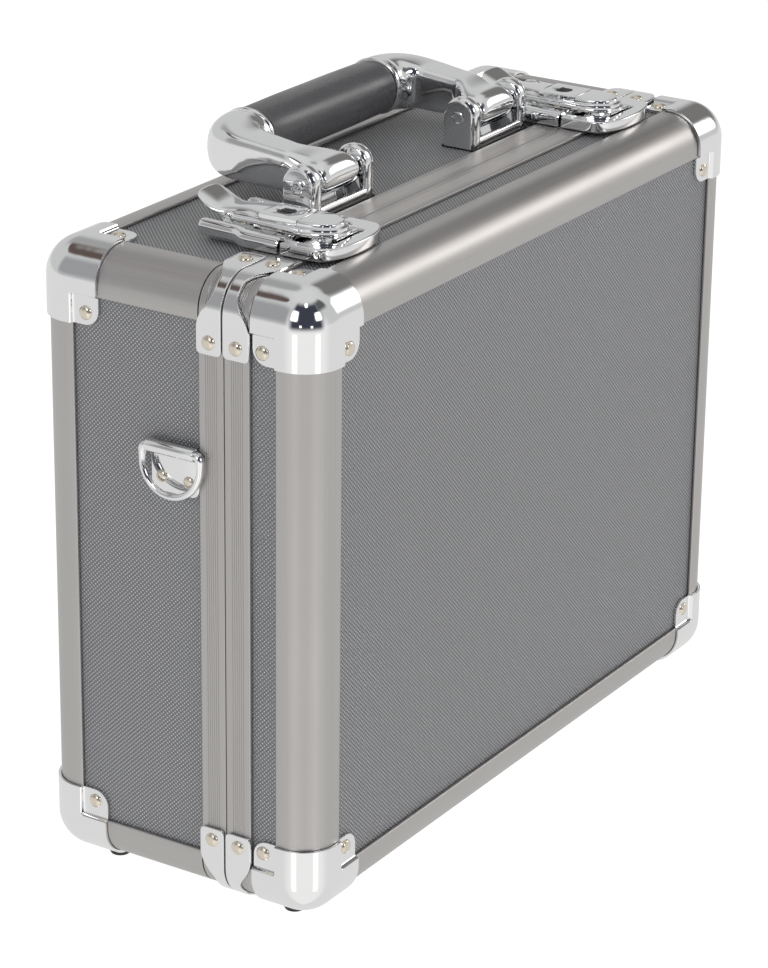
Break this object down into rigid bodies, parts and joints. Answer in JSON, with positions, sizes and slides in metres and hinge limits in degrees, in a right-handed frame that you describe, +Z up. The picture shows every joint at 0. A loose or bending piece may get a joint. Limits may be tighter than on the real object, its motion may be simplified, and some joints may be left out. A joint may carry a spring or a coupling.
{
  "type": "poker chip case",
  "caption": "Upright aluminium-framed carrying case for poker chips, with a bottom-hinged lid, key latches, a folding bail handle, strap rings and chip trays inside.",
  "frame": {"origin": "centre of the case's footprint on the surface that its feet stand on", "axes": "+X along the length, +Y towards the back of the case (the lid is at -Y), +Z up through the handle"},
  "size_m": [0.3914, 0.1542, 0.3382],
  "materials": {
    "chrome": "bright chrome plate",
    "satin_aluminium": "satin anodised, brushed lengthwise",
    "grey_laminate": "grey laminate embossed with a fine diamond weave, on board",
    "black_rubber": "matt black rubber",
    "black_grip": "satin black grip",
    "black_tray": "fine-grained black tray",
    "dark_foam": "dark foam lining",
    "steel": "plain steel"
  },
  "bodies": {
    "body": {"body_carcass": "grey_laminate", "body_valance": "satin_aluminium", "body_edge_top": "satin_aluminium", "body_edge_bottom": "satin_aluminium", "body_edge_left": "satin_aluminium", "body_edge_right": "satin_aluminium", "corner_post_bottom_left": "satin_aluminium", "corner_post_top_left": "satin_aluminium", "corner_post_bottom_right": "satin_aluminium", "corner_post_top_right": "satin_aluminium", "body_ball_corner_bottom_left": "chrome", "body_ball_corner_top_left": "chrome", "body_ball_corner_bottom_right": "chrome", "body_ball_corner_top_right": "chrome", "body_valance_bracket_bottom_left": "chrome", "body_valance_bracket_top_left": "chrome", "body_valance_bracket_bottom_right": "chrome", "body_valance_bracket_top_right": "chrome", "body_foot_left": "black_rubber", "body_foot_right": "black_rubber", "hinge_leaf_body": "steel", "hinge_pin": "steel", "handle_bracket_left": "chrome", "handle_bracket_right": "chrome", "latch_base_left": "chrome", "latch_base_right": "chrome", "strap_loop_left": "chrome", "strap_loop_right": "chrome", "chip_tray_lower": "black_tray", "chip_tray_upper": "black_tray"},
    "lid": {"lid_carcass": "grey_laminate", "lid_valance": "satin_aluminium", "lid_lining": "dark_foam", "lid_edge_top": "satin_aluminium", "lid_edge_bottom": "satin_aluminium", "lid_edge_left": "satin_aluminium", "lid_edge_right": "satin_aluminium", "lid_ball_corner_bottom_left": "chrome", "lid_ball_corner_top_left": "chrome", "lid_ball_corner_bottom_right": "chrome", "lid_ball_corner_top_right": "chrome", "lid_valance_bracket_bottom_left": "chrome", "lid_valance_bracket_top_left": "chrome", "lid_valance_bracket_bottom_right": "chrome", "lid_valance_bracket_top_right": "chrome", "lid_foot_left": "black_rubber", "lid_foot_right": "black_rubber", "hinge_leaf_lid": "steel", "latch_keeper_left": "chrome", "latch_keeper_right": "chrome"},
    "handle": {"handle_bail": "chrome", "handle_grip": "black_grip"},
    "latch_lever_left": {"latch_lever_left": "chrome"},
    "latch_hook_left": {"latch_hook_left": "chrome"},
    "key_plug_left": {"key_plug_left": "steel"},
    "strap_ring_left": {"strap_ring_left": "chrome"},
    "latch_lever_right": {"latch_lever_right": "chrome"},
    "latch_hook_right": {"latch_hook_right": "chrome"},
    "key_plug_right": {"key_plug_right": "steel"},
    "strap_ring_right": {"strap_ring_right": "chrome"}
  },
  "joints": [
    {"name": "lid_hinge", "type": "hinge", "parent": "body", "child": "lid", "pos_m": [0, -0.0275, 0.0033], "axis": [1, 0, 0], "range_deg": [0, 95]},
    {"name": "handle_pivot", "type": "hinge", "parent": "body", "child": "handle", "pos_m": [0, -0.002, 0.3198], "axis": [1, 0, 0], "range_deg": [0, 170]},
    {"name": "lever_left_pivot", "type": "hinge", "parent": "body", "child": "latch_lever_left", "pos_m": [-0.1232, -0.024, 0.3097], "axis": [1, 0, 0], "range_deg": [0, 75]},
    {"name": "hook_left_pivot", "type": "hinge", "parent": "latch_lever_left", "child": "latch_hook_left", "pos_m": [-0.1232, 0.0085, 0.313], "axis": [1, 0, 0], "range_deg": [-75, 0]},
    {"name": "key_left_turn", "type": "hinge", "parent": "latch_lever_left", "child": "key_plug_left", "pos_m": [-0.1232, -0.0153, 0.3175], "axis": [0, 0, 1], "range_deg": [0, 90]},
    {"name": "lever_right_pivot", "type": "hinge", "parent": "body", "child": "latch_lever_right", "pos_m": [0.1232, -0.024, 0.3097], "axis": [1, 0, 0], "range_deg": [0, 75]},
    {"name": "hook_right_pivot", "type": "hinge", "parent": "latch_lever_right", "child": "latch_hook_right", "pos_m": [0.1232, 0.0085, 0.313], "axis": [1, 0, 0], "range_deg": [-75, 0]},
    {"name": "key_right_turn", "type": "hinge", "parent": "latch_lever_right", "child": "key_plug_right", "pos_m": [0.1232, -0.0153, 0.3175], "axis": [0, 0, 1], "range_deg": [0, 90]},
    {"name": "ring_left_swing", "type": "hinge", "parent": "body", "child": "strap_ring_left", "pos_m": [-0.1926, -0.0007, 0.2225], "axis": [0, 1, 0], "range_deg": [0, 165]},
    {"name": "ring_right_swing", "type": "hinge", "parent": "body", "child": "strap_ring_right", "pos_m": [0.1926, -0.0007, 0.2225], "axis": [0, -1, 0], "range_deg": [0, 165]}
  ],
  "couplings": [
    {"joint": "hook_left_pivot", "follows": "lever_left_pivot", "ratio": -1},
    {"joint": "hook_right_pivot", "follows": "lever_right_pivot", "ratio": -1}
  ]
}
